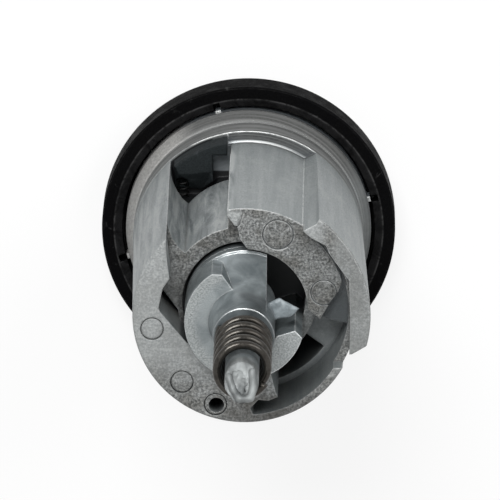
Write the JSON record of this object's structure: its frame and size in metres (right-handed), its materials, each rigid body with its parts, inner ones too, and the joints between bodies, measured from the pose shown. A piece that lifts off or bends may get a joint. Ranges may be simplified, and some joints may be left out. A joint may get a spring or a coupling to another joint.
{
  "type": "ignition lock cylinder",
  "caption": "Ignition lock cylinder: black bezel, cast stepped housing with slot and recess, turning plug with key slot and sprung rear stem.",
  "frame": {"origin": "centre of the bezel's front face, on the lock's axis", "axes": "+Z along the lock's axis from the key side to the rear stem, +Y towards the top recess"},
  "size_m": [0.0334, 0.0334, 0.0621],
  "materials": {
    "housing_casting": "die-cast zinc, matt and slightly bluish",
    "plug_casting": "die-cast zinc with smeared grease",
    "bezel_plastic": "black moulded plastic",
    "cap_steel": "bright pressed steel",
    "pin_steel": "plain steel",
    "spring_wire": "spring wire",
    "coil_steel": "brownish oiled spring steel",
    "latch_plastic": "dark part in the window",
    "wafer_brass": "stamped brass"
  },
  "bodies": {
    "housing_body": {"housing": "housing_casting", "bezel": "bezel_plastic", "latch_spring": "spring_wire"},
    "plug_body": {"plug": "plug_casting", "plug_cap": "cap_steel", "shutter_pin": "pin_steel", "shutter_spring": "spring_wire", "keeper_spring": "spring_wire", "stem_spring": "coil_steel", "wafer_spring_1": "spring_wire", "wafer_spring_2": "spring_wire", "wafer_spring_3": "spring_wire", "wafer_spring_4": "spring_wire", "wafer_spring_5": "spring_wire", "wafer_spring_6": "spring_wire", "wafer_spring_7": "spring_wire", "wafer_spring_8": "spring_wire"},
    "shutter_flap": {"shutter": "pin_steel"},
    "keeper": {"plug_keeper": "wafer_brass"},
    "latch": {"window_latch": "latch_plastic"},
    "wafer_body_1": {"wafer_1": "wafer_brass"},
    "wafer_body_2": {"wafer_2": "wafer_brass"},
    "wafer_body_3": {"wafer_3": "wafer_brass"},
    "wafer_body_4": {"wafer_4": "wafer_brass"},
    "wafer_body_5": {"wafer_5": "wafer_brass"},
    "wafer_body_6": {"wafer_6": "wafer_brass"},
    "wafer_body_7": {"wafer_7": "wafer_brass"},
    "wafer_body_8": {"wafer_8": "wafer_brass"}
  },
  "joints": [
    {"name": "plug_turn", "type": "hinge", "parent": "housing_body", "child": "plug_body", "pos_m": [0, 0, 0], "axis": [0, 0, 1], "range_deg": [0, 105]},
    {"name": "latch_slide", "type": "slide", "parent": "housing_body", "child": "latch", "axis": [0, -1, 0], "range_m": [0, 0.0008], "stiffness_N_per_m": 300, "springref_m": -0.001, "deforming": ["latch_spring"]},
    {"name": "keeper_slide", "type": "slide", "parent": "plug_body", "child": "keeper", "axis": [0, 1, 0], "range_m": [0, 0.0005], "stiffness_N_per_m": 300, "springref_m": -0.001, "deforming": ["keeper_spring"]},
    {"name": "shutter_swing", "type": "hinge", "parent": "plug_body", "child": "shutter_flap", "pos_m": [-0.002, 0, 0.00236], "axis": [0, -1, 0], "range_deg": [0, 80], "stiffness_Nm_per_rad": 0.0002, "springref_deg": -45.84},
    {"name": "wafer_slide_1", "type": "slide", "parent": "plug_body", "child": "wafer_body_1", "axis": [0, -1, 0], "range_m": [-0.0007, 0], "stiffness_N_per_m": 60, "springref_m": -0.002},
    {"name": "wafer_slide_2", "type": "slide", "parent": "plug_body", "child": "wafer_body_2", "axis": [0, 1, 0], "range_m": [-0.0007, 0], "stiffness_N_per_m": 60, "springref_m": -0.002},
    {"name": "wafer_slide_3", "type": "slide", "parent": "plug_body", "child": "wafer_body_3", "axis": [0, -1, 0], "range_m": [-0.0007, 0], "stiffness_N_per_m": 60, "springref_m": -0.002},
    {"name": "wafer_slide_4", "type": "slide", "parent": "plug_body", "child": "wafer_body_4", "axis": [0, 1, 0], "range_m": [-0.0007, 0], "stiffness_N_per_m": 60, "springref_m": -0.002},
    {"name": "wafer_slide_5", "type": "slide", "parent": "plug_body", "child": "wafer_body_5", "axis": [0, -1, 0], "range_m": [-0.0007, 0], "stiffness_N_per_m": 60, "springref_m": -0.002},
    {"name": "wafer_slide_6", "type": "slide", "parent": "plug_body", "child": "wafer_body_6", "axis": [0, 1, 0], "range_m": [-0.0007, 0], "stiffness_N_per_m": 60, "springref_m": -0.002},
    {"name": "wafer_slide_7", "type": "slide", "parent": "plug_body", "child": "wafer_body_7", "axis": [0, -1, 0], "range_m": [-0.0007, 0], "stiffness_N_per_m": 60, "springref_m": -0.002},
    {"name": "wafer_slide_8", "type": "slide", "parent": "plug_body", "child": "wafer_body_8", "axis": [0, 1, 0], "range_m": [-0.0007, 0], "stiffness_N_per_m": 60, "springref_m": -0.002}
  ]
}
